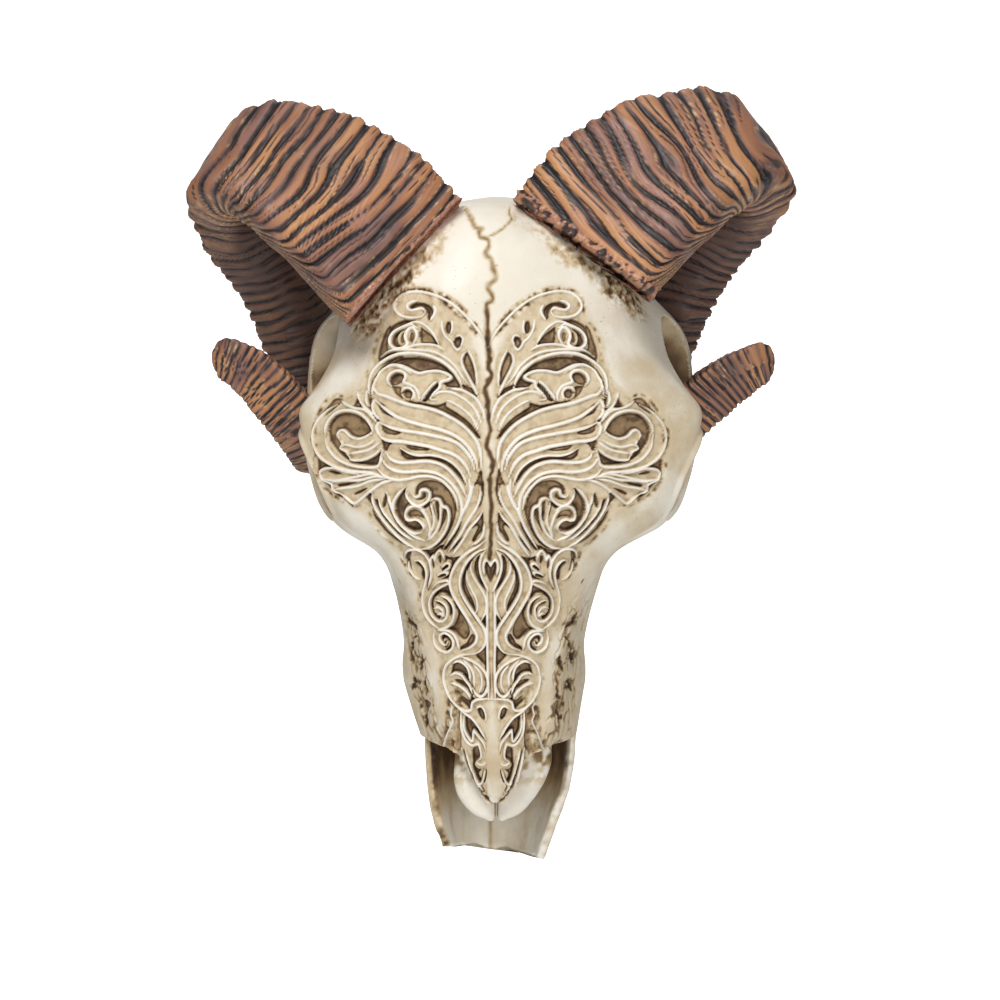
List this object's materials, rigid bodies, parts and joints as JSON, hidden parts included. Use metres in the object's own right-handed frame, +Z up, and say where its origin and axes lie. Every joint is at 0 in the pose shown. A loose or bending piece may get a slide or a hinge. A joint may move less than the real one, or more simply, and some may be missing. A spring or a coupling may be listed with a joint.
{
  "type": "ram skull wall sculpture",
  "caption": "Cast resin wall hanging in the form of a ram's skull with curled ridged horns, scroll relief over the face and a keyhole hanger on its flat back.",
  "frame": {"origin": "middle of the hanger plate's back face, which lies on the wall", "axes": "+Z up with the skull hung upright, -Y out of the wall towards the viewer, +X to the viewer's right; the wall is the plane y = 0"},
  "size_m": [0.285, 0.1297, 0.3679],
  "materials": {
    "bone": "satin cast resin painted as ivory bone with tan washes in the carving",
    "horn": "satin cast resin painted copper brown with dark grooves",
    "steel": "plain"
  },
  "bodies": {
    "root": {"braincase": "bone", "orbits": "bone", "snout": "bone", "nose_tip": "bone", "premaxilla_left": "bone", "premaxilla_right": "bone", "jaw_left": "bone", "jaw_right": "bone", "horn_right_base": "horn", "horn_left_base": "horn", "horn_right_bend": "horn", "horn_left_bend": "horn", "horn_right_curl": "horn", "horn_left_curl": "horn", "horn_right_tip": "horn", "horn_left_tip": "horn", "hanger_plate": "steel"}
  },
  "joints": []
}
